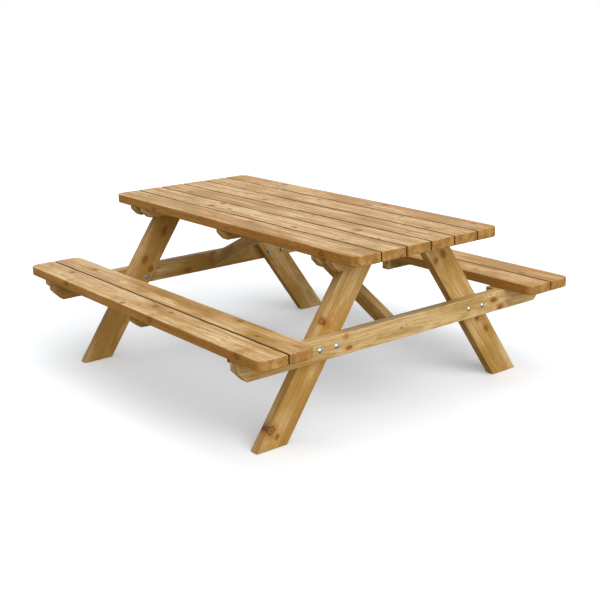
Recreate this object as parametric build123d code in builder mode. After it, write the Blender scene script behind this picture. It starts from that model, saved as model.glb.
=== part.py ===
"""Garden picnic table: a six-plank top and two plank seats on a pair of bolted A-frames.

Frame: +Z up, +X along the planks, origin on the ground under the middle of the seats.
Front is -Y, back is +Y, right is +X and left is -X. All sizes are in millimetres.
"""
import os
from math import atan2, copysign, cos, degrees

from build123d import *

# Overall sizes
table_height = 750.0
seat_height = 453.0
top_length = 1800.0
seat_reach = 855.5          # middle of the table to the outer edge of a seat
foot_reach = 742.0          # middle of the table to the outer tip of a foot
head_setback = 139.0        # edge of the tabletop to the outer edge of a leg's head
top_overhang = 181.5        # end of the tabletop to the outer face of the legs
seat_overhang = 32.0        # how much further a seat runs than the tabletop, each end
frame_shift = 16.0          # the tabletop and frames sit this far right of the seats' middle

# Planks
plank_width = 126.0
plank_thickness = 42.0
plank_gap = 6.0
top_plank_count = 6
seat_plank_count = 2
corner_radius = 37.0        # the four outer corners of the tabletop and of each seat
plank_edge_radius = 4.0

# Frame timber
timber_thickness = 44.0
timber_edge_radius = 2.5
leg_width = 122.0
seat_bearer_depth = 90.0
seat_bearer_setback = 7.5   # outer edge of the seat to the end of its bearer
seat_bearer_chamfer = (45.0, 47.0)      # run and rise of the cut under each end
cross_depth = 46.0          # bearers and battens under the tabletop
cross_setback = 3.0         # outer edge of the tabletop to the end of a bearer or batten
cross_chamfer = (30.0, 33.0)
seat_batten_depth = 52.0
seat_batten_length = 254.0
seat_batten_setback = {"right": 23.5, "middle": 9.5, "left": 9.5}   # from the seat's outer edge
seat_batten_chamfer = (34.0, 29.0)
brace_depth = 60.0
brace_foot_drop = 44.0      # underside of the seats to the brace's middle line, at its foot
brace_head_rise = 3.0       # underside of the tabletop up to the brace's middle line, at its head
brace_offset = {"right": -38.0, "left": 62.0}   # brace's middle plane, along Y

# Bolts: M10 cup square bolts, each with a washer and a hexagon nut
bolt_radius = 5.0
bolt_head_radius = 10.5
bolt_head_height = 5.5
bolt_head_rim = 1.0
bolt_neck_side = 10.0
bolt_neck_length = 6.0
bolt_projection = 2.5       # bolt end past its nut
washer_radius = 10.5
washer_thickness = 2.0
nut_across_flats = 16.0
nut_height = 8.4
thread_clearance = 0.05
hole_clearance = 0.5
seat_bolt_spacing = 84.0
top_bolt_spacing = 76.0

# Countersunk wood screws
screw_radius = 2.5
screw_head_radius = 4.8
screw_head_height = 3.4
screw_drive_radius = 2.0
screw_drive_depth = 1.8
screw_point_length = 7.0
screw_bite = 30.0           # how deep a screw runs into the second timber
brace_screw_bite = 45.0
pilot_clearance = 0.05
screw_clearance = 0.25
crossing_gap = 12.0         # least distance between a screw and a bolt or screw that crosses it
batten_screw_stagger = 30.0 # a seat batten's sideways screws, from its plank screws
brace_screw_inset = 12.0    # a brace's screws, from its middle plane towards the table's

# Heights and places that follow
top_underside = table_height - plank_thickness
seat_underside = seat_height - plank_thickness
seat_length = top_length + 2 * seat_overhang
frame_face = top_length / 2 - top_overhang
top_width = top_plank_count * (plank_width + plank_gap) - plank_gap
seat_width = seat_plank_count * (plank_width + plank_gap) - plank_gap
head_reach = top_width / 2 - head_setback
leg_slope = (foot_reach - head_reach) / top_underside
leg_level_width = leg_width / cos(atan2(leg_slope, 1))
seat_bearer_middle = seat_underside - seat_bearer_depth / 2
brace_foot_height = seat_underside - brace_foot_drop
brace_slope = (top_underside + brace_head_rise - brace_foot_height) / (frame_face - timber_thickness / 2)
brace_half_rise = brace_depth / 2 / cos(atan2(brace_slope, 1))
brace_head_bottom = top_underside + brace_head_rise - brace_half_rise
brace_head_screw_height = (top_underside + brace_head_bottom) / 2
seat_batten_bottom = seat_underside - seat_batten_depth
batten_screw_height = seat_underside - seat_batten_depth / 2
cross_middle = top_underside - cross_depth / 2
cross_bottom = top_underside - cross_depth
bolt_hole_radius = bolt_radius + hole_clearance
pilot_radius = screw_radius + pilot_clearance
screw_hole_radius = screw_radius + screw_clearance
countersink_radius = screw_head_radius + screw_clearance
countersink_angle = 2 * degrees(atan2(screw_head_radius - screw_radius, screw_head_height))
side_sign = {"front": -1, "back": 1}
end_sign = {"left": -1, "right": 1}


def row_centres(count, first_edge):
    """Middle lines of a row of planks, counted up from the row's lowest edge."""
    return [first_edge + plank_width / 2 + (plank_width + plank_gap) * i for i in range(count)]


def leg_middle(height):
    """Distance from the table's middle plane to a leg's middle line, at a height."""
    return foot_reach - leg_slope * height - leg_level_width / 2


def clear_of(place, crossings):
    """A screw's place, moved aside where a bolt or another screw crosses its path."""
    for crossing in crossings:
        if abs(place - crossing) < crossing_gap:
            place = crossing + copysign(crossing_gap, place - crossing)
    return place


top_centres = row_centres(top_plank_count, -top_width / 2)
seat_centres = row_centres(seat_plank_count, seat_reach - seat_width)
cross_reach = top_width / 2 - cross_setback
seat_bearer_reach = seat_reach - seat_bearer_setback
seat_bolt_y = [leg_middle(seat_bearer_middle) + s * seat_bolt_spacing / 2 for s in (-1, 1)]
top_bolt_y = [leg_middle(cross_middle) + s * top_bolt_spacing / 2 for s in (-1, 1)]
batten_screw_y = [y - batten_screw_stagger for y in seat_centres]
brace_screw_y = {end: y - copysign(brace_screw_inset, y) for end, y in brace_offset.items()}

# Middles, along X, of the timbers in each frame and under the planks
outer_middle = frame_face + timber_thickness / 2
leg_x = {end: frame_shift + s * (outer_middle - timber_thickness) for end, s in end_sign.items()}
seat_bearer_x = {end: frame_shift + s * outer_middle for end, s in end_sign.items()}
top_cross_x = {
    "top_bearer_left": seat_bearer_x["left"],
    "top_batten_left": leg_x["left"] + timber_thickness,
    "top_batten_middle": frame_shift,
    "top_batten_right": leg_x["right"] - timber_thickness,
    "top_bearer_right": seat_bearer_x["right"],
}
# The end battens of both seats lie against the left-hand faces of the seat bearers.
seat_batten_x = {
    "left": seat_bearer_x["left"] - timber_thickness,
    "middle": frame_shift,
    "right": seat_bearer_x["right"] - timber_thickness,
}


def top_screw_y(cross_name):
    """Places of the plank screws along one timber under the tabletop."""
    if cross_name == "top_batten_middle":
        crossings = list(brace_screw_y.values())
    else:
        crossings = [side * y for side in side_sign.values() for y in top_bolt_y]
    return [clear_of(y, crossings) for y in top_centres]


def looking_down(x, y, z):
    """Work plane on an underside, facing the ground."""
    return Plane(origin=(x, y, z), x_dir=(1, 0, 0), z_dir=(0, 0, -1))


def looking_out(x, y, z, sign):
    """Work plane on an upright face that looks along +X (sign 1) or -X (sign -1)."""
    return Plane(origin=(x, y, z), x_dir=(0, 1, 0), z_dir=(sign, 0, 0))


def bolt_planes(x, sign, places, height):
    """Work planes for the bolts of both legs of a frame, on a face at x."""
    return [looking_out(x, side * y, height, sign) for side in side_sign.values() for y in places]


def save(piece, name):
    """Label a finished piece and write it to its own file."""
    piece.part.label = name
    export_step(piece.part, f"parts/{name}.step")


# ---- Planks -------------------------------------------------------------------------------
def make_plank(name, length, middle, rounded_side, screws):
    """A plank along X, given the middle of its underside; rounded_side is -1, 0 or 1 along Y."""
    with BuildPart() as plank:
        with BuildSketch(Plane(origin=middle)) as outline:
            Rectangle(length, plank_width)
            if rounded_side:
                corners = outline.vertices().group_by(Axis.Y)[-1 if rounded_side > 0 else 0]
                fillet(corners, corner_radius)
        extrude(amount=plank_thickness)
        fillet(plank.faces().filter_by(Axis.Z).edges(), plank_edge_radius)
        with Locations(*[looking_down(x, y, middle[2]) for x, y in screws]):
            Hole(pilot_radius, depth=screw_bite + pilot_clearance)
    save(plank, name)


def make_top_planks():
    """The tabletop planks, numbered from the front edge."""
    for index, y in enumerate(top_centres):
        rounded_side = {0: -1, top_plank_count - 1: 1}.get(index, 0)
        screws = [(x, top_screw_y(cross)[index]) for cross, x in top_cross_x.items()]
        middle = (frame_shift, y, top_underside)
        make_plank(f"top_plank_{index + 1}", top_length, middle, rounded_side, screws)


def make_seat_planks():
    """An inner and an outer plank for each seat, rounded at the seat's four corners."""
    for side, sign in side_sign.items():
        for place, y, rounded_side in zip(("inner", "outer"), seat_centres, (-sign, sign)):
            screws = [(x, sign * y) for x in seat_batten_x.values()]
            middle = (0, sign * y, seat_underside)
            make_plank(f"{side}_seat_plank_{place}", seat_length, middle, rounded_side, screws)


# ---- Legs and braces ----------------------------------------------------------------------
def make_leg(side, end):
    """A slanted leg with a level head and foot, bored for its four bolts."""
    sign = side_sign[side]
    outer_face = leg_x[end] + end_sign[end] * timber_thickness / 2
    bores = [(y, seat_bearer_middle) for y in seat_bolt_y] + [(y, cross_middle) for y in top_bolt_y]
    with BuildPart() as leg:
        with BuildSketch(Plane.YZ.offset(leg_x[end] - timber_thickness / 2)):
            with BuildLine():
                Polyline(
                    (sign * foot_reach, 0),
                    (sign * head_reach, top_underside),
                    (sign * (head_reach - leg_level_width), top_underside),
                    (sign * (foot_reach - leg_level_width), 0),
                    close=True,
                )
            make_face()
        extrude(amount=timber_thickness)
        fillet(leg.edges().group_by(SortBy.LENGTH)[-1], timber_edge_radius)
        with Locations(*[looking_out(outer_face, sign * y, z, end_sign[end]) for y, z in bores]):
            Hole(bolt_hole_radius, depth=timber_thickness)
    save(leg, f"leg_{side}_{end}")


def brace_middle(distance):
    """Height of a brace's middle line, at a distance along X from the frames' middle."""
    return brace_foot_height + brace_slope * (frame_face - distance)


def make_brace(end):
    """A brace from a seat bearer up to the middle batten, where it also meets the planks."""
    sign = end_sign[end]
    head_x = timber_thickness / 2
    level_x = head_x + (brace_head_rise + brace_half_rise) / brace_slope
    foot_x = frame_shift + sign * frame_face
    with BuildPart() as brace:
        with BuildSketch(Plane.XZ.offset(-(brace_offset[end] + timber_thickness / 2))):
            with BuildLine():
                Polyline(
                    (foot_x, brace_middle(frame_face) - brace_half_rise),
                    (frame_shift + sign * head_x, brace_head_bottom),
                    (frame_shift + sign * head_x, top_underside),
                    (frame_shift + sign * level_x, top_underside),
                    (foot_x, brace_middle(frame_face) + brace_half_rise),
                    close=True,
                )
            make_face()
        extrude(amount=timber_thickness)
        along = Axis((0, 0, 0), (1, 0, -sign * brace_slope))
        fillet(brace.edges().filter_by(along), timber_edge_radius)
        foot = looking_out(foot_x, brace_screw_y[end], brace_foot_height, sign)
        head = looking_out(
            frame_shift + sign * head_x, brace_screw_y[end], brace_head_screw_height, -sign
        )
        with Locations(foot, head):
            Hole(pilot_radius, depth=brace_screw_bite + pilot_clearance)
    save(brace, f"brace_{end}")


# ---- Timbers across the table -------------------------------------------------------------
def cross_points(span, top, depth, cuts):
    """Corners of the side of a timber along Y; each end has a (run, rise) cut under it, or None."""
    bottom = top - depth
    points = []
    for y, cut, inward in zip(span, cuts, (1, -1)):
        if cut:
            corners = [(y, top), (y, bottom + cut[1]), (y + inward * cut[0], bottom)]
        else:
            corners = [(y, top), (y, bottom)]
        points += corners[::inward]
    return points


def make_cross(name, x, points, bolts=(), necks=(), screws=(), screw_depth=0.0, sideways=(), pilots=()):
    """A timber along Y centred on x, with its bolt holes, neck sockets, screw holes and pilots."""
    with BuildPart() as timber:
        with BuildSketch(Plane.YZ.offset(x - timber_thickness / 2)):
            with BuildLine():
                Polyline(*points, close=True)
            make_face()
        extrude(amount=timber_thickness)
        fillet(timber.edges().filter_by(Axis.Y), timber_edge_radius)
        if bolts:
            with Locations(*bolts):
                Hole(bolt_hole_radius, depth=timber_thickness)
        if necks:
            with BuildSketch(*necks):
                Rectangle(bolt_neck_side + 2 * thread_clearance, bolt_neck_side + 2 * thread_clearance)
            extrude(amount=-(bolt_neck_length + thread_clearance), mode=Mode.SUBTRACT)
        if screws:
            with Locations(*screws):
                CounterSinkHole(screw_hole_radius, countersink_radius, screw_depth, countersink_angle)
        if sideways:
            with Locations(*sideways):
                CounterSinkHole(screw_hole_radius, countersink_radius, timber_thickness, countersink_angle)
        if pilots:
            with Locations(*pilots):
                Hole(pilot_radius, depth=screw_bite + pilot_clearance)
    save(timber, name)


def seat_bolt_planes(end):
    """Where the seat bolts' heads sit, on the outer face of a seat bearer."""
    outer_face = seat_bearer_x[end] + end_sign[end] * timber_thickness / 2
    return bolt_planes(outer_face, end_sign[end], seat_bolt_y, seat_bearer_middle)


def top_bolt_planes(cross_name):
    """Bolt places on the outward face of a top bearer or of the batten inside the legs."""
    end = cross_name.rsplit("_", 1)[1]
    if end == "middle":
        return []
    face = top_cross_x[cross_name] + end_sign[end] * timber_thickness / 2
    return bolt_planes(face, end_sign[end], top_bolt_y, cross_middle)


def brace_foot_plane(end):
    """Where a brace's foot screw enters, on the outer face of the seat bearer."""
    outer_face = seat_bearer_x[end] + end_sign[end] * timber_thickness / 2
    return looking_out(outer_face, brace_screw_y[end], brace_foot_height, end_sign[end])


def brace_head_plane(end):
    """Where a brace's head screw enters, on the far face of the middle batten."""
    face = frame_shift - end_sign[end] * timber_thickness / 2
    return looking_out(face, brace_screw_y[end], brace_head_screw_height, -end_sign[end])


def batten_side_planes(end, middle_x):
    """Sideways screws of the end battens, on the left-hand face of a timber at middle_x."""
    face = middle_x[end] - timber_thickness / 2
    return bolt_planes(face, -1, batten_screw_y, batten_screw_height)


def top_screw_planes(cross_name):
    """Plank screws on the underside of one timber below the tabletop."""
    return [looking_down(top_cross_x[cross_name], y, cross_bottom) for y in top_screw_y(cross_name)]


def seat_screw_planes(side, end):
    """Plank screws on the underside of one seat batten."""
    x = seat_batten_x[end]
    return [looking_down(x, side_sign[side] * y, seat_batten_bottom) for y in seat_centres]


def make_seat_bearers():
    """The two deep timbers that carry both seats, outside the legs."""
    span = (-seat_bearer_reach, seat_bearer_reach)
    cuts = (seat_bearer_chamfer, seat_bearer_chamfer)
    points = cross_points(span, seat_underside, seat_bearer_depth, cuts)
    for end, x in seat_bearer_x.items():
        make_cross(
            f"seat_bearer_{end}",
            x,
            points,
            bolts=seat_bolt_planes(end),
            necks=seat_bolt_planes(end),
            sideways=[brace_foot_plane(end)],
            pilots=batten_side_planes(end, seat_bearer_x),
        )


def make_top_crosses():
    """The bearers outside the legs, the battens inside them and the middle batten."""
    span = (-cross_reach, cross_reach)
    points = cross_points(span, top_underside, cross_depth, (cross_chamfer, cross_chamfer))
    for name, x in top_cross_x.items():
        is_middle = name == "top_batten_middle"
        make_cross(
            name,
            x,
            points,
            bolts=top_bolt_planes(name),
            necks=top_bolt_planes(name) if name.startswith("top_bearer") else (),
            screws=top_screw_planes(name),
            screw_depth=cross_depth,
            sideways=[brace_head_plane(end) for end in end_sign] if is_middle else (),
        )


def make_seat_battens():
    """Three short battens under each seat, square at the inner end."""
    for side, sign in side_sign.items():
        for end, x in seat_batten_x.items():
            reach = seat_reach - seat_batten_setback[end]
            span = (reach - seat_batten_length, reach)[::sign]
            cuts = (None, seat_batten_chamfer)[::sign]
            points = cross_points([sign * y for y in span], seat_underside, seat_batten_depth, cuts)
            at_end = end != "middle"
            sideways = batten_side_planes(end, seat_batten_x) if at_end else []
            make_cross(
                f"{side}_seat_batten_{end}",
                x,
                points,
                screws=seat_screw_planes(side, end),
                screw_depth=seat_batten_depth,
                sideways=[plane for plane in sideways if plane.origin.Y * sign > 0],
            )


# ---- Fasteners ----------------------------------------------------------------------------
def make_bolts(name, planes, grip):
    """Cup square bolts, heads on the given planes, through timbers of a total thickness."""
    length = grip + washer_thickness + nut_height + bolt_projection
    dome_rise = bolt_head_height - bolt_head_rim
    dome_radius = (bolt_head_radius**2 + dome_rise**2) / (2 * dome_rise)
    with BuildPart() as bolt:
        with BuildSketch(Plane.XZ):
            with BuildLine():
                rim = Polyline((0, 0), (bolt_head_radius, 0), (bolt_head_radius, bolt_head_rim))
                dome = RadiusArc(rim @ 1, (0, bolt_head_height), -dome_radius)
                Line(dome @ 1, rim @ 0)
            make_face()
        revolve(axis=Axis.Z)
        Box(bolt_neck_side, bolt_neck_side, bolt_neck_length, align=(Align.CENTER, Align.CENTER, Align.MAX))
        Cylinder(bolt_radius, length, align=(Align.CENTER, Align.CENTER, Align.MAX))
        chamfer(bolt.faces().sort_by(Axis.Z)[0].edges(), bolt_head_rim)
    with BuildPart() as group:
        with Locations(*planes):
            add(bolt.part)
    save(group, name)


def make_washers(name, planes, grip):
    """Washers where bolts come out of the timber."""
    with BuildPart() as group:
        with BuildSketch(*[plane.offset(-grip) for plane in planes]):
            Circle(washer_radius)
            Circle(bolt_hole_radius, mode=Mode.SUBTRACT)
        extrude(amount=-washer_thickness)
    save(group, name)


def make_nuts(name, planes, grip):
    """Hexagon nuts on the washers."""
    with BuildPart() as group:
        with BuildSketch(*[plane.offset(-(grip + washer_thickness)) for plane in planes]):
            RegularPolygon(nut_across_flats / 2, 6, major_radius=False)
            Circle(bolt_radius + thread_clearance, mode=Mode.SUBTRACT)
        extrude(amount=-nut_height)
    save(group, name)


def make_screws(name, planes, length):
    """Countersunk screws with a hexagon socket, heads flush with the given planes."""
    with BuildPart() as screw:
        with BuildSketch(Plane.XZ):
            with BuildLine():
                Polyline(
                    (0, 0),
                    (screw_head_radius, 0),
                    (screw_radius, -screw_head_height),
                    (screw_radius, screw_point_length - length),
                    (0, -length),
                    close=True,
                )
            make_face()
        revolve(axis=Axis.Z)
        with BuildSketch():
            RegularPolygon(screw_drive_radius, 6)
        extrude(amount=-screw_drive_depth, mode=Mode.SUBTRACT)
    with BuildPart() as group:
        with Locations(*planes):
            add(screw.part)
    save(group, name)


def make_bolt_sets():
    """Bolts, washers and nuts through the seat bearers and through the heads of the legs."""
    heads_by_joint = {
        "seat": ([p for end in end_sign for p in seat_bolt_planes(end)], 2 * timber_thickness),
        "top": ([p for end in end_sign for p in top_bolt_planes(f"top_bearer_{end}")], 3 * timber_thickness),
    }
    for joint, (planes, grip) in heads_by_joint.items():
        make_bolts(f"{joint}_bolts", planes, grip)
        make_washers(f"{joint}_washers", planes, grip)
        make_nuts(f"{joint}_nuts", planes, grip)


def make_screw_sets():
    """All wood screws, one group for each kind of joint."""
    top = [p for name in top_cross_x for p in top_screw_planes(name)]
    seats = [p for side in side_sign for end in seat_batten_x for p in seat_screw_planes(side, end)]
    battens = [p for end in end_sign for p in batten_side_planes(end, seat_batten_x)]
    braces = [plane(end) for end in end_sign for plane in (brace_foot_plane, brace_head_plane)]
    make_screws("top_plank_screws", top, cross_depth + screw_bite)
    make_screws("seat_plank_screws", seats, seat_batten_depth + screw_bite)
    make_screws("seat_batten_screws", battens, timber_thickness + screw_bite)
    make_screws("brace_screws", braces, timber_thickness + brace_screw_bite)


def main():
    """Build every piece of the table."""
    os.makedirs("parts", exist_ok=True)
    make_top_planks()
    make_seat_planks()
    for end in end_sign:
        for side in side_sign:
            make_leg(side, end)
        make_brace(end)
    make_seat_bearers()
    make_top_crosses()
    make_seat_battens()
    make_bolt_sets()
    make_screw_sets()


main()
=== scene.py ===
"""Looks of the garden picnic table: planed, pressure-treated pine boards and zinc-plated fasteners.

Metres, +Z up, +X along the planks. Every board is rebuilt as its own detailed mesh in board
coordinates (X along the grain, Y across the width, Z through the thickness) in the place that its
frame node holds, so that grain, growth rings and end grain all follow the real cut of the timber.
"""
import math
import random

import bmesh
import bpy
from mathutils import Matrix, Vector, noise


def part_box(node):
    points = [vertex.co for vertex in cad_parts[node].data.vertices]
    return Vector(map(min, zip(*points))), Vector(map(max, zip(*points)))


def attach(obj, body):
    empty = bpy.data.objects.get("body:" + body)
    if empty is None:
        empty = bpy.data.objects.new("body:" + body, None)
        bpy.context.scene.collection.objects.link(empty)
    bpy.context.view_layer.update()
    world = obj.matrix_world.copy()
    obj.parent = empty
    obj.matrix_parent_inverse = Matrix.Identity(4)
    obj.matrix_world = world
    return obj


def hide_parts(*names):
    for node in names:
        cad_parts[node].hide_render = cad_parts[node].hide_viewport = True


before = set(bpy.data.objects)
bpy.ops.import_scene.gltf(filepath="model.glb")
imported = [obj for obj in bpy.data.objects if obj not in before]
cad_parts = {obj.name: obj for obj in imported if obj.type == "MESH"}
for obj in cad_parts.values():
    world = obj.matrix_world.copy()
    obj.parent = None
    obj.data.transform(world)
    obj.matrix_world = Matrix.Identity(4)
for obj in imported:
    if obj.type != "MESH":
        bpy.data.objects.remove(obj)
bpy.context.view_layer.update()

MM = 0.001
X, Y, Z = Vector((1, 0, 0)), Vector((0, 1, 0)), Vector((0, 0, 1))

# Sizes of the timbers that a box alone doesn't give
LEG_WIDTH = 122 * MM
LEG_RUN = 488 * MM              # how far a leg leans out between its head and its foot
BRACE_DEPTH = 60 * MM
BRACE_SLOPE = 0.4939
BRACE_FOOT_HEIGHT = 367 * MM    # ground to the brace's middle line where it meets the frame
BRACE_MIDWAY = 300 * MM         # from the middle of the table, between a brace's head and its foot
PLANK_EDGE = 4 * MM
TIMBER_EDGE = 2.5 * MM
SAWN_EDGE = 0.8 * MM            # the sharp arris that a saw leaves at an end
CORNER_RADIUS = 37 * MM
CORNER_STEPS, EDGE_STEPS, SAWN_STEPS = 12, 4, 2
SEAT_BEARER_CUT = (45 * MM, 47 * MM)    # run and rise of the cut under an end
TOP_CROSS_CUT = (30 * MM, 33 * MM)
SEAT_BATTEN_CUT = (34 * MM, 29 * MM)

# Radius and height in millimetres of a countersink's rings, from above the wood to the bottom of the hole
COUNTERSINK = ((5.6, 0.55), (5.05, 0.0), (2.75, -3.4), (2.75, -7.0))
COUNTERSINK_SIDES = 24

# How finely a board's surface is divided, along, across and through it
RELIEF_GRID = (14 * MM, 6 * MM, 6 * MM)
KNOCK_REACH = 9 * MM            # how far from an arris knocks are found
DEEPEST_RELIEF = 1.0            # millimetres
SMOOTH_BELOW = math.radians(40)


def linear(hex_colour):
    """An sRGB hex colour as the linear RGBA that shaders take."""
    channels = [int(hex_colour[i : i + 2], 16) / 255 for i in (1, 3, 5)]
    return tuple(c / 12.92 if c <= 0.04045 else ((c + 0.055) / 1.055) ** 2.4 for c in channels) + (1.0,)


# ---- Boards -------------------------------------------------------------------------------
class Board:
    """A straight timber: its node, its axes in the table's frame, its size and how its ends are cut."""

    def __init__(
        self, node, along, facing, centre, size, cuts=(), edge=TIMBER_EDGE, round_corners=0, gaps=()
    ):
        self.node = node
        self.along = Vector(along).normalized()
        self.facing = Vector(facing).normalized()
        self.centre = Vector(centre)
        self.size = Vector(size)
        self.cuts = cuts                        # (point, direction) pairs: wood beyond each is sawn off
        self.edge = edge
        self.round_corners = round_corners      # which side of a plank has rounded corners, or 0
        self.gaps = gaps                        # which sides of a plank face another one across a gap
        self.matrix = self.frame_matrix()

    def frame_matrix(self):
        """Board coordinates to the table's frame."""
        across = self.facing.cross(self.along)
        turn = Matrix((self.along, across, self.facing)).transposed().to_4x4()
        return Matrix.Translation(self.centre) @ turn

    def local(self, point):
        """A point of the table's frame in board coordinates."""
        return self.matrix.inverted() @ Vector(point)


def node_box(node):
    """Middle and size of a frame node."""
    low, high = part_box(node)
    return (Vector(low) + Vector(high)) / 2, Vector(high) - Vector(low)


def plank(node, rounded, gaps):
    middle, size = node_box(node)
    return Board(node, X, Z, middle, size, edge=PLANK_EDGE, round_corners=rounded, gaps=gaps)


def leg(node):
    """A leg leaning inwards towards the top, sawn level at its head and foot."""
    middle, size = node_box(node)
    lean = -math.copysign(LEG_RUN, middle.y)
    length = math.hypot(LEG_RUN, size.z) + LEG_WIDTH
    cuts = ((middle - Z * size.z / 2, -Z), (middle + Z * size.z / 2, Z))
    return Board(node, (0, lean, size.z), X, middle, (length, LEG_WIDTH, size.x), cuts)


def brace(node):
    """A brace rising towards the middle of the table, cut upright at both ends and level on top."""
    middle, size = node_box(node)
    outward = math.copysign(1, middle.x)
    foot_x = middle.x + outward * size.x / 2
    head_x = middle.x - outward * size.x / 2
    rise = BRACE_SLOPE * size.x
    centre = Vector((middle.x, middle.y, BRACE_FOOT_HEIGHT + rise / 2))
    length = math.hypot(size.x, rise) + 2 * BRACE_DEPTH
    cuts = (
        ((foot_x, 0, 0), X * outward),
        ((head_x, 0, 0), -X * outward),
        ((0, 0, middle.z + size.z / 2), Z),
    )
    return Board(node, (-outward, 0, BRACE_SLOPE), Y, centre, (length, BRACE_DEPTH, size.y), cuts)


def cross_timber(node, cut, ends=(-1, 1)):
    """A timber along Y with a sloping cut under the ends named."""
    middle, size = node_box(node)
    run, rise = cut
    cuts = []
    for end in ends:
        corner = middle + Vector((0, end * size.y / 2, rise - size.z / 2))
        cuts.append((corner, Vector((0, end * rise, -run)).normalized()))
    return Board(node, Y, X, middle, (size.y, size.z, size.x), cuts)


def solid_board(board):
    """The board's outline as a mesh: a beam with sawn ends, rounded corners and eased edges."""
    bm = bmesh.new()
    bmesh.ops.create_cube(bm, size=1.0, matrix=Matrix.Diagonal(board.size).to_4x4())
    turn = board.matrix.inverted().to_3x3()
    for point, direction in board.cuts:
        geometry = bm.verts[:] + bm.edges[:] + bm.faces[:]
        normal = turn @ Vector(direction)
        cut = bmesh.ops.bisect_plane(
            bm, geom=geometry, plane_co=board.local(point), plane_no=normal, clear_outer=True
        )
        rim = [e for e in cut["geom_cut"] if isinstance(e, bmesh.types.BMEdge)]
        bmesh.ops.contextual_create(bm, geom=rim)
    easing = {"profile": 0.5, "affect": "EDGES", "clamp_overlap": True}
    if board.round_corners:
        corners = []
        for edge in bm.edges:
            middle = (edge.verts[0].co + edge.verts[1].co) / 2
            if abs(middle.z) < MM and middle.y * board.round_corners > 0:
                corners.append(edge)
        bmesh.ops.bevel(bm, geom=corners, offset=CORNER_RADIUS, segments=CORNER_STEPS, **easing)
    bmesh.ops.recalc_face_normals(bm, faces=bm.faces[:])
    bm.normal_update()

    # A plank is eased all round its faces, a frame timber only along its length
    is_plank = board.edge == PLANK_EDGE
    long_edges = []
    for edge in bm.edges:
        direction = (edge.verts[1].co - edge.verts[0].co).normalized()
        eased = abs(direction.x) > 0.99 or (is_plank and abs(direction.z) < 0.5)
        if eased and edge.calc_face_angle(0) >= math.radians(25):
            long_edges.append(edge)
    bmesh.ops.bevel(bm, geom=long_edges, offset=board.edge, segments=EDGE_STEPS, **easing)
    bm.normal_update()
    sawn_edges = []
    for edge in bm.edges:
        direction = (edge.verts[1].co - edge.verts[0].co).normalized()
        if abs(direction.x) < 0.99 and edge.calc_face_angle(0) > math.radians(35):
            sawn_edges.append(edge)
    bmesh.ops.bevel(bm, geom=sawn_edges, offset=SAWN_EDGE, segments=SAWN_STEPS, **easing)
    return bm


def slice_up(bm, board, spacing):
    """Divides the surface by planes across each axis, so that it can follow fine relief."""
    for axis, step in zip((X, Y, Z), spacing):
        reach = max(abs(v.co.dot(axis)) for v in bm.verts)
        count = max(2, round(2 * reach / step))
        for i in range(1, count):
            geometry = bm.verts[:] + bm.edges[:] + bm.faces[:]
            plane = axis * (2 * reach * i / count - reach)
            bmesh.ops.bisect_plane(bm, geom=geometry, dist=1e-6, plane_co=plane, plane_no=axis)


def add_relief(bm, board, seed):
    """Presses the surface in, never out: seasoning ripples, a faint crown and knocks along the arrises."""
    half = board.size / 2
    offset = Vector((seed * 3.7, seed * 1.9, seed * 2.3))
    bm.normal_update()
    moves = []
    for v in bm.verts:
        p = v.co
        # Ripples 200 mm long and 45 mm wide, and knocks about 35 mm apart
        ripple = 0.5 + 0.5 * noise.noise(Vector((p.x * 5, p.y * 22, p.z * 22)) + offset)
        crown = (p.y / half.y) ** 2
        to_edge = max(half.y - abs(p.y), half.z - abs(p.z))
        near_arris = max(0.0, 1 - to_edge / KNOCK_REACH)
        knock = max(0.0, noise.noise(Vector((p.x * 26, p.y * 30, p.z * 30)) - offset) - 0.12)
        depth = 0.25 * ripple + 0.25 * crown + 1.9 * near_arris * knock
        moves.append(-v.normal * min(depth, DEEPEST_RELIEF) * MM)
    for v, move in zip(bm.verts, moves):
        v.co += move


def head_cutter(heads):
    """Countersinks for the screws that enter a board, as one mesh in the table's frame."""
    bm = bmesh.new()
    angles = [math.tau * i / COUNTERSINK_SIDES for i in range(COUNTERSINK_SIDES)]
    for head, outward in heads:
        place = Matrix.Translation(head) @ outward.to_track_quat("Z", "Y").to_matrix().to_4x4()
        loops = []
        for radius, height in COUNTERSINK:
            circle = [Vector((radius * math.cos(a), radius * math.sin(a), height)) * MM for a in angles]
            loops.append([bm.verts.new(place @ point) for point in circle])
        for lower, upper in zip(loops, loops[1:]):
            for i in range(COUNTERSINK_SIDES):
                bm.faces.new((lower[i], lower[i - 1], upper[i - 1], upper[i]))
        bm.faces.new(loops[0])
        bm.faces.new(reversed(loops[-1]))
    bmesh.ops.recalc_face_normals(bm, faces=bm.faces[:])
    return bm


def screw_heads(node, outward_of):
    """Where each screw of a frame node meets the wood, and which way its head faces."""
    bm = bmesh.new()
    bm.from_mesh(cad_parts[node].data)
    bm.transform(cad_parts[node].matrix_world)
    bmesh.ops.remove_doubles(bm, verts=bm.verts[:], dist=1e-6)
    heads, seen = [], set()
    for start in bm.verts:
        if start in seen:
            continue
        seen.add(start)
        island, queue = [], [start]
        while queue:
            v = queue.pop()
            island.append(v.co)
            for edge in v.link_edges:
                other = edge.other_vert(v)
                if other not in seen:
                    seen.add(other)
                    queue.append(other)
        low = Vector([min(c[i] for c in island) for i in range(3)])
        high = Vector([max(c[i] for c in island) for i in range(3)])
        outward = outward_of((low + high) / 2)
        middle = (low + high) / 2
        reach = (high - low) / 2
        heads.append((middle + Vector([outward[i] * reach[i] for i in range(3)]), outward))
    bm.free()
    return heads


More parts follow.
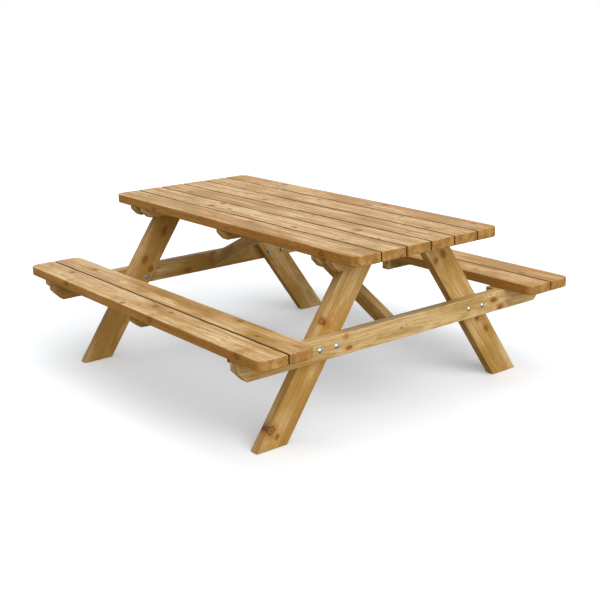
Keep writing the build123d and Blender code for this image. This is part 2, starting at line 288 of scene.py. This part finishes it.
def brace_screw_side(middle):
    """The foot screws enter from outside the frames, the head screws from beyond the middle batten."""
    side = 1 if middle.x > frame_middle else -1
    at_foot = abs(middle.x - frame_middle) > BRACE_MIDWAY
    return X * (side if at_foot else -side)


def build_piece(board, seed, heads, material):
    """The finished board, in place of its frame node."""
    bm = solid_board(board)
    slice_up(bm, board, RELIEF_GRID)
    add_relief(bm, board, seed)
    bm.transform(board.matrix)
    mesh = bpy.data.meshes.new(board.node)
    bm.to_mesh(mesh)
    bm.free()
    piece = bpy.data.objects.new(f"{board.node}_wood", mesh)
    bpy.context.scene.collection.objects.link(piece)
    if heads:
        cutter_mesh = bpy.data.meshes.new("countersinks")
        cutter_bm = head_cutter(heads)
        cutter_bm.to_mesh(cutter_mesh)
        cutter_bm.free()
        cutter = bpy.data.objects.new("countersinks", cutter_mesh)
        bpy.context.scene.collection.objects.link(cutter)
        boring = piece.modifiers.new("boring", "BOOLEAN")
        boring.operation = "DIFFERENCE"
        boring.solver = "EXACT"
        boring.object = cutter
        bpy.context.view_layer.update()
        evaluated = piece.evaluated_get(bpy.context.evaluated_depsgraph_get())
        bored = bpy.data.meshes.new_from_object(evaluated)
        piece.modifiers.clear()
        piece.data = bored
        bpy.data.objects.remove(cutter)
    piece.data.materials.clear()
    piece.data.materials.append(material)
    piece.data.shade_smooth()
    piece.data.set_sharp_from_angle(angle=SMOOTH_BELOW)
    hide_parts(board.node)
    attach(piece, "root")
    return piece


# ---- Materials ----------------------------------------------------------------------------
def add(tree, kind, inputs=None, **settings):
    """Adds a node with its settings; inputs are values, or the outputs that feed them."""
    node = tree.nodes.new(kind)
    for name, value in settings.items():
        setattr(node, name, value)
    for socket, value in (inputs or {}).items():
        if isinstance(value, bpy.types.NodeSocket):
            tree.links.new(value, node.inputs[socket])
        else:
            node.inputs[socket].default_value = value
    return node


# Pressure-treated pine, planed on four sides: honey-coloured with soft brown latewood lines, a cast
# of green from the copper salts in the end grain, orange-brown knots, and a dull satin face.
HONEY = linear("#BC9049")
PALE = linear("#E6CB98")
AMBER = linear("#9A6118")
LATEWOOD = linear("#7A4B12")
OLIVE = linear("#8F7A40")
KNOT_BODY = linear("#A36C2C")
KNOT_HEART = linear("#5A3514")
KNOT_RIM = linear("#4E2F12")
END_BROWN = linear("#7A5320")
END_CHECK = linear("#3A2710")
# Painted shade for the sides of planks that face each other across a gap
GAP_SHADE = linear("#4A300F")

# The wood's patterns: size along, across and through the board in millimetres, and octaves of detail
GRAIN = {
    "waves": ((454.5, 100, 100), 2.0),          # slow bends of the grain, about two to the metre
    "fibres": ((62.5, 1.25, 1.25), 3.0),        # coarser than real ones, which are too fine to show
    "bands": ((769.2, 23.81, 23.81), 2.0),      # years of faster and of slower growth
    "streaks": ((238.1, 8, 8), 3.0),            # darker, more resinous wood
    "flecks": ((45.45, 5.263, 5.263), 2.0),     # resin ducts and bruises, drawn wider than the real 1 mm
    "patches": ((250, 90.91, 90.91), 4.0),      # where the timber took up more or less treatment
    "blotches": ((33.33, 29.41, 29.41), 3.0),   # the same, finer, in end grain
}
WAVE_HEIGHT = 26 * MM           # how far the waves bend the growth rings
KNOT_PUSH = 13 * MM             # how far a knot pushes the rings aside
KNOT_SPACING = 420 * MM
KNOT_RADII = (5, 10)            # millimetres
BRANCH_REACH = 5                # how far a knot goes into its board, in its own radii
RING_WIDTHS = (4.5, 7.5)        # millimetres, of fast-grown pine
ROUGH_OUTLINE = 18.18 * MM      # size of the bulges in a knot's outline
CHECKS_ROUND_PITH = 14.0        # how closely the fine cracks of end grain follow each other
WOOD_IOR = 1.48
WOOD_SHEEN = 0.3                # below the usual 0.5: bare wood scatters most of what it reflects


def nearest_knot(tree, board, place, seeded, knots):
    """How far away the nearest knot is, in its own radii: 0 at its heart and 1 at its bark.

    A knot is a branch that crosses the board, so it is drawn out into the board and along the grain.
    """
    half = board.size / 2
    distances = []
    for centre, radius, stretch in knots:
        if abs(centre.z) / half.z >= abs(centre.y) / half.y:
            reach = (radius * stretch, radius, radius * BRANCH_REACH)
        else:
            reach = (radius * stretch, radius * BRANCH_REACH, radius)
        scale = [1 / r for r in reach]
        start = [-c * k for c, k in zip(centre, scale)]
        branch = add(tree, "ShaderNodeMapping", {"Vector": place, "Location": start, "Scale": scale})
        length = add(tree, "ShaderNodeVectorMath", {0: branch.outputs[0]}, operation="LENGTH")
        distances.append(length.outputs["Value"])
    nearest = distances[0]
    for distance in distances[1:]:
        nearest = add(tree, "ShaderNodeMath", {0: nearest, 1: distance}, operation="MINIMUM").outputs[0]
    outline = {"Vector": seeded, "Scale": 1 / ROUGH_OUTLINE, "Detail": 2.0, "Roughness": 0.6}
    bulges = add(tree, "ShaderNodeTexNoise", outline).outputs["Fac"]
    uneven = add(tree, "ShaderNodeMath", {0: bulges, 1: 1.1, 2: nearest}, operation="MULTIPLY_ADD").outputs[0]
    return add(tree, "ShaderNodeMath", {0: uneven, 1: 0.53}, operation="SUBTRACT").outputs[0]


def growth_rings(tree, place, waves, to_knot, pith, ring_width):
    """The latewood of each year's ring, from 0 to 1, and the place seen from the pith."""
    pith_y, pith_z, tilt_y, tilt_z = pith
    about = {"Vector": place, "Location": (0, -pith_y, -pith_z), "Rotation": (0, tilt_z, tilt_y)}
    about_pith = add(tree, "ShaderNodeMapping", about).outputs[0]
    centred = {0: waves.outputs["Color"], 1: (-0.5, -0.5, -0.5)}
    sway = add(tree, "ShaderNodeVectorMath", centred, operation="ADD").outputs[0]
    bend = add(tree, "ShaderNodeVectorMath", {0: sway, "Scale": WAVE_HEIGHT}, operation="SCALE").outputs[0]
    bent = add(tree, "ShaderNodeVectorMath", {0: about_pith, 1: bend}, operation="ADD").outputs[0]
    flat = add(tree, "ShaderNodeVectorMath", {0: bent, 1: (0.0, 1.0, 1.0)}, operation="MULTIPLY").outputs[0]
    from_pith = add(tree, "ShaderNodeVectorMath", {0: flat}, operation="LENGTH").outputs["Value"]
    near_knot = {"Value": to_knot, "From Min": 0.7, "From Max": 4.2, "To Min": KNOT_PUSH, "To Max": 0.0}
    push = add(tree, "ShaderNodeMapRange", near_knot, interpolation_type="SMOOTHERSTEP").outputs[0]
    pushed = add(tree, "ShaderNodeMath", {0: from_pith, 1: push}, operation="ADD").outputs[0]
    rings = add(tree, "ShaderNodeMath", {0: pushed, 1: 1 / ring_width}, operation="MULTIPLY").outputs[0]

    # Good and bad years crowd some rings together and spread others
    yearly = {"W": rings, "Scale": 0.45, "Detail": 1.0}
    weather = add(tree, "ShaderNodeTexNoise", yearly, noise_dimensions="1D").outputs["Fac"]
    aged = add(tree, "ShaderNodeMath", {0: weather, 1: 1.6, 2: rings}, operation="MULTIPLY_ADD").outputs[0]
    year = add(tree, "ShaderNodeMath", {0: aged}, operation="FRACT").outputs[0]

    # Each year darkens slowly through the summer and ends at once with the winter
    seasons = []
    for start, end, before, after in ((0.35, 0.9, 0.0, 1.0), (0.9, 1.0, 1.0, 0.0)):
        season = {"Value": year, "From Min": start, "From Max": end, "To Min": before, "To Max": after}
        seasons.append(add(tree, "ShaderNodeMapRange", season, interpolation_type="SMOOTHSTEP").outputs[0])
    summer, winter = seasons
    latewood = add(tree, "ShaderNodeMath", {0: summer, 1: winter}, operation="MULTIPLY").outputs[0]
    return latewood, flat


def pine(board, seed, knots, pith, tone, figure):
    """One board's wood. pith is (y, z, tilt_y, tilt_z): where the tree's middle ran beside the board.

    tone is how pale the board is, and figure is how strongly its bands and streaks stand out.
    """
    rng = random.Random(f"wood {seed}")
    material = bpy.data.materials.new(f"treated_pine_{board.node}")
    material.use_nodes = True
    tree = material.node_tree
    tree.nodes.clear()
    shift = [rng.uniform(-40, 40) for _ in range(3)]
    ring_width = rng.uniform(*RING_WIDTHS) * MM

    # Places and directions in the board's own axes, and each pattern of the grain
    to_board = board.matrix.inverted()
    turn = to_board.to_euler()
    coords = add(tree, "ShaderNodeTexCoord")
    moved = {"Vector": coords.outputs["Object"], "Location": to_board.translation, "Rotation": turn}
    place = add(tree, "ShaderNodeMapping", moved).outputs[0]
    turned = {"Vector": coords.outputs["Normal"], "Rotation": turn}
    normal = add(tree, "ShaderNodeMapping", turned, vector_type="VECTOR").outputs[0]
    facing = add(tree, "ShaderNodeSeparateXYZ", {"Vector": normal}).outputs
    seeded = add(tree, "ShaderNodeVectorMath", {0: place, 1: shift}, operation="ADD").outputs[0]
    grain = {}
    for name, (size, detail) in GRAIN.items():
        scale = [1 / (length * MM) for length in size]
        drawn_out = add(tree, "ShaderNodeVectorMath", {0: seeded, 1: scale}, operation="MULTIPLY").outputs[0]
        grain[name] = add(tree, "ShaderNodeTexNoise", {"Vector": drawn_out, "Scale": 1.0, "Detail": detail})
    to_knot = nearest_knot(tree, board, place, seeded, knots)
    latewood, flat = growth_rings(tree, place, grain["waves"], to_knot, pith, ring_width)

    # Distance from a knot's bark, how squarely a face shows end grain, and cracks that run from the pith
    off_rim = add(tree, "ShaderNodeMath", {0: to_knot, 1: 1.0}, operation="SUBTRACT").outputs[0]
    rim_distance = add(tree, "ShaderNodeMath", {0: off_rim}, operation="ABSOLUTE").outputs[0]
    along_grain = add(tree, "ShaderNodeMath", {0: facing["X"]}, operation="ABSOLUTE").outputs[0]
    pith_axes = add(tree, "ShaderNodeSeparateXYZ", {"Vector": flat}).outputs
    angle = {0: pith_axes["Y"], 1: pith_axes["Z"]}
    bearing = add(tree, "ShaderNodeMath", angle, operation="ARCTAN2").outputs[0]
    round_pith = {"W": bearing, "Scale": CHECKS_ROUND_PITH, "Detail": 2.0}
    cracks = add(tree, "ShaderNodeTexNoise", round_pith, noise_dimensions="1D").outputs["Fac"]

    # How much of each thing shows: what it follows, from and to which value, and how much at each
    patches, bands = grain["patches"].outputs["Fac"], grain["bands"].outputs["Fac"]
    green_least, green_most = (0.0, 0.45) if board.gaps else (0.22, 0.6)
    ramps = {
        "pale": (patches, 0.35, 0.65, tone - 0.55, tone + 0.55, "LINEAR"),
        "bands": (bands, 0.45, 0.66, 0.0, 0.85 * figure, "LINEAR"),
        "streaks": (grain["streaks"].outputs["Fac"], 0.5, 0.68, 0.0, 0.85 * figure, "LINEAR"),
        "flecks": (grain["flecks"].outputs["Fac"], 0.59, 0.67, 0.0, figure, "LINEAR"),
        "fibres": (grain["fibres"].outputs["Fac"], 0.3, 0.7, 0.0, 0.3, "LINEAR"),
        "green": (patches, 0.45, 0.3, green_least, green_most, "LINEAR"),
        "halo": (to_knot, 1.0, 2.8, 0.7, 0.0, "SMOOTHSTEP"),
        "body": (to_knot, 0.9, 1.1, 0.85, 0.0, "LINEAR"),
        "heart": (to_knot, 0.15, 0.5, 0.9, 0.0, "SMOOTHSTEP"),
        "rim": (rim_distance, 0.05, 0.25, 0.75, 0.0, "LINEAR"),
        # Painted shade in the gaps between planks, uneven along the bands
        "gap_shade": (bands, 0.35, 0.6, 0.75, 1.0, "LINEAR"),
        "end": (along_grain, 0.45, 0.7, 0.0, 1.0, "LINEAR"),
        "soaked": (grain["blotches"].outputs["Fac"], 0.33, 0.7, 0.0, 0.8, "LINEAR"),
        "checks": (cracks, 0.66, 0.74, 0.0, 0.8, "LINEAR"),
    }
    if board.gaps:
        # Painted light and shade: faces turned to the sky are painted paler, the sides of the planks darker
        # and more amber
        up = add(tree, "ShaderNodeSeparateXYZ", {"Vector": coords.outputs["Normal"]}).outputs["Z"]
        ramps["kept_honey"] = (up, 0.2, 0.9, -0.9, 0.0, "LINEAR")
        ramps["side"] = (up, 0.2, 0.9, 0.35, 0.0, "LINEAR")
    shares = {}
    for name, (source, start, end, before, after, ease) in ramps.items():
        ramp = {"Value": source, "From Min": start, "From Max": end, "To Min": before, "To Max": after}
        shares[name] = add(tree, "ShaderNodeMapRange", ramp, interpolation_type=ease).outputs[0]

    pale_share = shares["pale"]
    # Painted shade: the sides of the planks are made less pale than the tops
    if board.gaps:
        kept = {0: pale_share, 1: shares["kept_honey"]}
        pale_share = add(tree, "ShaderNodeMath", kept, operation="ADD").outputs[0]
    bare = {"Factor": pale_share, "A": HONEY, "B": PALE}
    ground = add(tree, "ShaderNodeMix", bare, data_type="RGBA").outputs["Result"]
    # Painted shade: amber laid over the sides of the planks
    if board.gaps:
        side_shaded = {"Factor": shares["side"], "A": ground, "B": AMBER}
        ground = add(tree, "ShaderNodeMix", side_shaded, data_type="RGBA").outputs["Result"]

    # A knot has its own years, about three from its heart to its bark
    knot_years = add(tree, "ShaderNodeMath", {0: to_knot, 1: 3.2}, operation="MULTIPLY").outputs[0]
    knot_year = add(tree, "ShaderNodeMath", {0: knot_years}, operation="FRACT").outputs[0]
    in_body = {0: knot_year, 1: shares["body"]}
    knot_ring = add(tree, "ShaderNodeMath", in_body, operation="MULTIPLY").outputs[0]
    knot_ring_share = add(tree, "ShaderNodeMath", {0: knot_ring, 1: 0.6}, operation="MULTIPLY").outputs[0]
    ring_share = add(tree, "ShaderNodeMath", {0: latewood, 1: 0.35}, operation="MULTIPLY").outputs[0]

    # Long grain: clear wood first, then the green of the copper salts, then the knots over all
    layers = [
        (shares["bands"], AMBER),
        (shares["streaks"], AMBER),
        (ring_share, LATEWOOD),
        (shares["flecks"], LATEWOOD),
        (shares["fibres"], AMBER),
        (shares["green"], OLIVE),
        (shares["halo"], AMBER),
        (shares["body"], KNOT_BODY),
        (knot_ring_share, KNOT_HEART),
        (shares["heart"], KNOT_HEART),
        (shares["rim"], KNOT_RIM),
    ]
    # Painted shade: the sides that face another plank across a gap are darkened, unevenly along the bands,
    # for the shadow in the gap
    for side in board.gaps:
        turning = {"Value": facing["Y"], "From Min": 0.2 * side, "From Max": 0.75 * side}
        gap_shaded = add(tree, "ShaderNodeMapRange", {**turning, "To Max": shares["gap_shade"]}).outputs[0]
        layers.append((gap_shaded, GAP_SHADE))
    long_grain = ground
    for share, colour in layers:
        mixed = {"Factor": share, "A": long_grain, "B": colour}
        long_grain = add(tree, "ShaderNodeMix", mixed, data_type="RGBA").outputs["Result"]

    # End grain soaks up the most treatment: the rings stand out, with fine checks between them
    deepened = {0: latewood, 1: 0.6, 2: 0.05}
    end_ring = add(tree, "ShaderNodeMath", deepened, operation="MULTIPLY_ADD").outputs[0]
    end_grain = ground
    end_layers = (
        (0.15, PALE),
        (shares["soaked"], END_BROWN),
        (end_ring, LATEWOOD),
        (shares["checks"], END_CHECK),
    )
    for share, colour in end_layers:
        mixed = {"Factor": share, "A": end_grain, "B": colour}
        end_grain = add(tree, "ShaderNodeMix", mixed, data_type="RGBA").outputs["Result"]
    cut_or_planed = {"Factor": shares["end"], "A": long_grain, "B": end_grain}
    wood = add(tree, "ShaderNodeMix", cut_or_planed, data_type="RGBA").outputs["Result"]

    # Relief in millimetres: torn fibres, proud latewood, sunk flecks, and a groove round each knot
    relief = 0.0
    for source, height in (
        (grain["fibres"].outputs["Fac"], 0.16),
        (latewood, 0.07),
        (shares["flecks"], -0.12),
        (shares["rim"], -0.3),
    ):
        raised = {0: source, 1: height, 2: relief}
        relief = add(tree, "ShaderNodeMath", raised, operation="MULTIPLY_ADD").outputs[0]
    bump = add(tree, "ShaderNodeBump", {"Height": relief, "Strength": 1.0, "Distance": MM})

    # Treatment and open end grain dull the face, and the hard latewood takes a slight shine
    roughness = 0.42
    for source, change in ((patches, 0.2), (shares["end"], 0.25), (latewood, -0.06)):
        dulled = {0: source, 1: change, 2: roughness}
        roughness = add(tree, "ShaderNodeMath", dulled, operation="MULTIPLY_ADD").outputs[0]
    surface = {
        "Base Color": wood,
        "Roughness": roughness,
        "Normal": bump.outputs[0],
        "IOR": WOOD_IOR,
        "Specular IOR Level": WOOD_SHEEN,
    }
    shader = add(tree, "ShaderNodeBsdfPrincipled", surface)
    add(tree, "ShaderNodeOutputMaterial", {"Surface": shader.outputs[0]})
    return material


# Zinc-plated steel: bright, slightly blue, with a faint mottling of the passivated coat
ZINC_STAIN = linear("#8E9298")
CRYSTAL = 2 * MM                # the coat's crystals, drawn coarse: real ones are too fine to show
STAIN = 8.333 * MM              # the size of a stain on the coat
BOLT_ROUGHNESS, SCREW_ROUGHNESS = 0.1, 0.3


def zinc(name, colour, rough):
    material = bpy.data.materials.new(name)
    material.use_nodes = True
    tree = material.node_tree
    tree.nodes.clear()
    place = add(tree, "ShaderNodeTexCoord").outputs["Object"]
    coat = {"Vector": place, "Scale": 1 / CRYSTAL, "Detail": 3.0}
    mottle = add(tree, "ShaderNodeTexNoise", coat).outputs["Fac"]
    stains = {"Vector": place, "Scale": 1 / STAIN, "Detail": 2.0}
    stain = add(tree, "ShaderNodeTexNoise", stains).outputs["Fac"]
    dulled = {"Value": stain, "From Min": 0.45, "From Max": 0.75, "To Max": 0.5}
    stain_share = add(tree, "ShaderNodeMapRange", dulled).outputs[0]
    stained = {"Factor": stain_share, "A": linear(colour), "B": ZINC_STAIN}
    tinted = add(tree, "ShaderNodeMix", stained, data_type="RGBA").outputs["Result"]
    roughened = {0: mottle, 1: 0.25, 2: rough}
    roughness = add(tree, "ShaderNodeMath", roughened, operation="MULTIPLY_ADD").outputs[0]
    height = add(tree, "ShaderNodeMath", {0: mottle, 1: 0.02}, operation="MULTIPLY").outputs[0]
    bump = add(tree, "ShaderNodeBump", {"Height": height, "Strength": 1.0, "Distance": MM})
    surface = {"Base Color": tinted, "Metallic": 1.0, "Roughness": roughness, "Normal": bump.outputs[0]}
    shader = add(tree, "ShaderNodeBsdfPrincipled", surface)
    add(tree, "ShaderNodeOutputMaterial", {"Surface": shader.outputs[0]})
    return material


# ---- The table ----------------------------------------------------------------------------
frame_middle = node_box("top_batten_middle")[0].x

boards = [plank("top_plank_1", -1, (1,)), plank("top_plank_6", 1, (-1,))]
boards += [plank(f"top_plank_{i}", 0, (-1, 1)) for i in range(2, 6)]
for side, sign in (("front", -1), ("back", 1)):
    boards.append(plank(f"{side}_seat_plank_inner", -sign, (sign,)))
    boards.append(plank(f"{side}_seat_plank_outer", sign, (-sign,)))
    for end in ("left", "right"):
        boards.append(leg(f"leg_{side}_{end}"))
    for end in ("left", "middle", "right"):
        boards.append(cross_timber(f"{side}_seat_batten_{end}", SEAT_BATTEN_CUT, ends=(sign,)))
for end in ("left", "right"):
    boards.append(brace(f"brace_{end}"))
    boards.append(cross_timber(f"seat_bearer_{end}", SEAT_BEARER_CUT))
    boards.append(cross_timber(f"top_bearer_{end}", TOP_CROSS_CUT))
    boards.append(cross_timber(f"top_batten_{end}", TOP_CROSS_CUT))
boards.append(cross_timber("top_batten_middle", TOP_CROSS_CUT))

# Knots on show: a point on the board's surface in the table's frame, then radius and length ratio
KNOWN_KNOTS = {
    "top_plank_1": [((-0.525, -0.393, 0.722), 8, 1.6), ((0.714, -0.393, 0.727), 9, 1.7)],
    "top_plank_2": [((-0.288, -0.224, 0.750), 9, 1.8), ((-0.163, -0.206, 0.750), 6, 1.6)],
    "top_plank_3": [
        ((0.573, -0.079, 0.750), 11, 1.5),
        ((-0.647, -0.102, 0.750), 9, 1.9),
        ((0.215, -0.022, 0.750), 6, 1.5),
    ],
    "top_plank_4": [((-0.230, 0.044, 0.750), 8, 1.6), ((0.430, 0.086, 0.750), 5, 1.8)],
    "top_plank_6": [((-0.483, 0.359, 0.750), 8, 1.8), ((0.811, 0.352, 0.750), 7, 1.5)],
    "front_seat_plank_inner": [
        ((-0.645, -0.659, 0.453), 8, 1.8),
        ((0.485, -0.623, 0.453), 7, 1.9),
        ((0.684, -0.686, 0.453), 6, 1.6),
    ],
    "front_seat_plank_outer": [
        ((-0.061, -0.842, 0.453), 7, 1.5),
        ((0.079, -0.762, 0.453), 8, 1.7),
        ((0.201, -0.765, 0.453), 6, 1.6),
        ((-0.551, -0.8555, 0.438), 9, 1.7),
        ((0.179, -0.8555, 0.436), 10, 1.6),
        ((0.787, -0.8555, 0.438), 9, 1.8),
    ],
    "leg_front_right": [
        ((0.7345, -0.430, 0.478), 8, 1.4),
        ((0.7345, -0.671, 0.079), 15, 1.2),
        ((0.7345, -0.643, 0.046), 7, 1.3),
    ],
    "leg_back_right": [
        ((0.7345, 0.254, 0.622), 10, 1.5),
        ((0.7345, 0.213, 0.599), 8, 1.3),
        ((0.7345, 0.536, 0.234), 9, 1.4),
        ((0.7345, 0.475, 0.294), 8, 1.5),
    ],
    "leg_front_left": [
        ((-0.6585, -0.379, 0.449), 11, 1.4),
        ((-0.6585, -0.349, 0.398), 9, 1.4),
        ((-0.6585, -0.263, 0.575), 11, 1.6),
    ],
    "seat_bearer_left": [((-0.7025, -0.109, 0.340), 9, 1.5)],
    "seat_bearer_right": [
        ((0.7785, 0.531, 0.375), 9, 1.7),
        ((0.7785, 0.575, 0.335), 9, 1.4),
        ((0.7785, -0.310, 0.345), 6, 2.0),
    ],
}

# How pale a board is, from 0 for honey to 1 for cream
TONES = {
    "top_plank_1": 0.6,
    "top_plank_2": 0.85,
    "top_plank_3": 0.55,
    "top_plank_4": 0.7,
    "top_plank_5": 0.6,
    "top_plank_6": 0.45,
    "front_seat_plank_inner": 0.6,
    "front_seat_plank_outer": 0.75,
    "back_seat_plank_inner": 0.15,
    "back_seat_plank_outer": 0.1,
    "seat_bearer_right": 1.0,
    # Painted shade: this leg is made the darkest, for the seat's shadow on it
    "leg_front_left": 0.0,
    "leg_front_right": 0.2,
    "leg_back_right": 0.45,
    # Painted light: this brace is made the palest, to lift the shade it stands in under the table
    "brace_left": 1.0,
    "brace_right": 0.1,
}

# How strongly bands, streaks and flecks stand out
TOP_FIGURE, SEAT_FIGURE, FRAME_FIGURE = 0.85, 0.6, 0.45

def chosen_knots(board, rng):
    """The board's knots in board coordinates: those on show, and a few more on its other faces."""
    half = board.size / 2
    known = KNOWN_KNOTS.get(board.node, ())
    knots = [(board.local(point), radius * MM, stretch) for point, radius, stretch in known]
    more = max(1, round(board.size.x / KNOT_SPACING)) - len(knots)
    for _ in range(max(1, more)):
        radius = rng.uniform(*KNOT_RADII) * MM
        on_wide_face = rng.random() < 0.6
        y = rng.uniform(-0.8, 0.8) * half.y if on_wide_face else half.y * rng.choice((-1, 1))
        z = half.z * rng.choice((-1, 1)) if on_wide_face else rng.uniform(-0.6, 0.6) * half.z
        knots.append((Vector((rng.uniform(-0.92, 0.92) * half.x, y, z)), radius, rng.uniform(1.2, 1.9)))
    return knots


def pith_of(board, rng):
    """Where the tree's middle ran: beside the board, and seldom quite parallel to it."""
    distance = rng.uniform(25, 70) * MM + board.size.z / 2
    return (
        rng.uniform(-0.4, 0.4) * board.size.y,
        distance * rng.choice((-1, 1)),
        rng.uniform(-0.015, 0.015),
        rng.uniform(-0.03, 0.03),
    )


heads_by_timber = {
    "top_b": screw_heads("top_plank_screws", lambda middle: -Z),
    "_seat_batten_": screw_heads("seat_plank_screws", lambda middle: -Z)
    + screw_heads("seat_batten_screws", lambda middle: -X),
    "seat_bearer": screw_heads("brace_screws", brace_screw_side),
    "top_batten_middle": screw_heads("brace_screws", brace_screw_side),
}

for seed, board in enumerate(boards, start=1):
    rng = random.Random(f"board {board.node}")
    middle, size = node_box(board.node)
    heads = []
    for part, found in heads_by_timber.items():
        if part in board.node:
            for head, outward in found:
                if all(abs(head[i] - middle[i]) < size[i] / 2 + 0.5 * MM for i in range(3)):
                    heads.append((head, outward))
    tone = TONES.get(board.node, rng.uniform(0.2, 0.5))
    figure = FRAME_FIGURE
    if board.gaps:
        figure = SEAT_FIGURE if "seat" in board.node else TOP_FIGURE
    wood = pine(board, seed, chosen_knots(board, rng), pith_of(board, rng), tone, figure)
    piece = build_piece(board, seed, heads, wood)

bright_zinc = zinc("zinc_plated_steel_bolts", "#A2BFD8", BOLT_ROUGHNESS)
dull_zinc = zinc("zinc_plated_steel_screws", "#8C8F92", SCREW_ROUGHNESS)
for node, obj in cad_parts.items():
    if node.endswith(("_bolts", "_washers", "_nuts", "_screws")):
        metal = dull_zinc if node.endswith("_screws") else bright_zinc
        for socket in obj.material_slots:
            socket.material = metal

# ---- Studio -------------------------------------------------------------------------------
FLOOR_SIZE = 60                 # metres, so that the paper fills the view
FLOOR_DROP = 1 * MM             # keeps the paper clear of the feet
SKY_ON_TABLE = 0.34             # how much of the white sky reaches the table; the camera sees all of it

floor_mesh = bpy.data.meshes.new("studio_floor")
floor_bm = bmesh.new()
lowered = Matrix.Translation((0, 0, -FLOOR_DROP))
bmesh.ops.create_grid(floor_bm, x_segments=2, y_segments=2, size=FLOOR_SIZE, matrix=lowered)
floor_bm.to_mesh(floor_mesh)
floor_bm.free()
studio_floor = bpy.data.objects.new("studio_floor", floor_mesh)
bpy.context.scene.collection.objects.link(studio_floor)

# White studio paper; what it throws back up is warmer and held down, as screens beside a set would do
paper = bpy.data.materials.new("studio_paper")
paper.use_nodes = True
tree = paper.node_tree
tree.nodes.clear()
seen = add(tree, "ShaderNodeLightPath").outputs["Is Camera Ray"]
thrown = add(tree, "ShaderNodeBsdfDiffuse", {"Color": linear("#ADA182")})
white = add(tree, "ShaderNodeBsdfDiffuse", {"Color": (0.92, 0.92, 0.92, 1.0)})
glow = add(tree, "ShaderNodeEmission", {"Color": (0.85, 1.0, 1.12, 1.0), "Strength": 0.165})
shown = add(tree, "ShaderNodeAddShader", {0: white.outputs[0], 1: glow.outputs[0]})
both = add(tree, "ShaderNodeMixShader", {0: seen, 1: thrown.outputs[0], 2: shown.outputs[0]})
add(tree, "ShaderNodeOutputMaterial", {"Surface": both.outputs[0]})
floor_mesh.materials.append(paper)

world = bpy.data.worlds.new("studio")
bpy.context.scene.world = world
world.use_nodes = True
tree = world.node_tree
tree.nodes.clear()
path = add(tree, "ShaderNodeLightPath").outputs
either = {0: path["Is Camera Ray"], 1: path["Is Glossy Ray"]}
direct = add(tree, "ShaderNodeMath", either, operation="MAXIMUM").outputs[0]
level = add(tree, "ShaderNodeMapRange", {"Value": direct, "To Min": SKY_ON_TABLE}).outputs[0]
sky = add(tree, "ShaderNodeBackground", {"Color": (1.0, 1.0, 1.0, 1.0), "Strength": level})
add(tree, "ShaderNodeOutputWorld", {"Surface": sky.outputs[0]})


def soft_light(name, direction, strength, spread):
    """A very broad, even light from one direction; spread is in degrees."""
    light = bpy.data.lights.new(name, "SUN")
    light.energy = strength
    light.angle = math.radians(spread)
    lamp = bpy.data.objects.new(name, light)
    lamp.rotation_euler = Vector(direction).to_track_quat("Z", "Y").to_euler()
    bpy.context.scene.collection.objects.link(lamp)


soft_light("overhead_bank", direction=(0.05, -0.1, 1.0), strength=1.55, spread=80)
soft_light("right_hand_bank", direction=(0.9, -0.1, 0.38), strength=2.55, spread=60)

# ---- Camera -------------------------------------------------------------------------------
CAMERA_PLACE = (3.7977, -2.9234, 1.7043)
AZIMUTH, ELEVATION, ROLL = math.radians(51.84), math.radians(16.21), math.radians(-1.2)

camera = bpy.data.cameras.new("camera")
camera.sensor_width = 36.0
camera.lens = 64.18
view = bpy.data.objects.new("camera", camera)
bpy.context.scene.collection.objects.link(view)
view.matrix_world = (
    Matrix.Translation(CAMERA_PLACE)
    @ Matrix.Rotation(AZIMUTH, 4, "Z")
    @ Matrix.Rotation(math.pi / 2 - ELEVATION, 4, "X")
    @ Matrix.Rotation(ROLL, 4, "Z")
)
bpy.context.scene.camera = view
bpy.context.scene.view_settings.view_transform = "Standard"
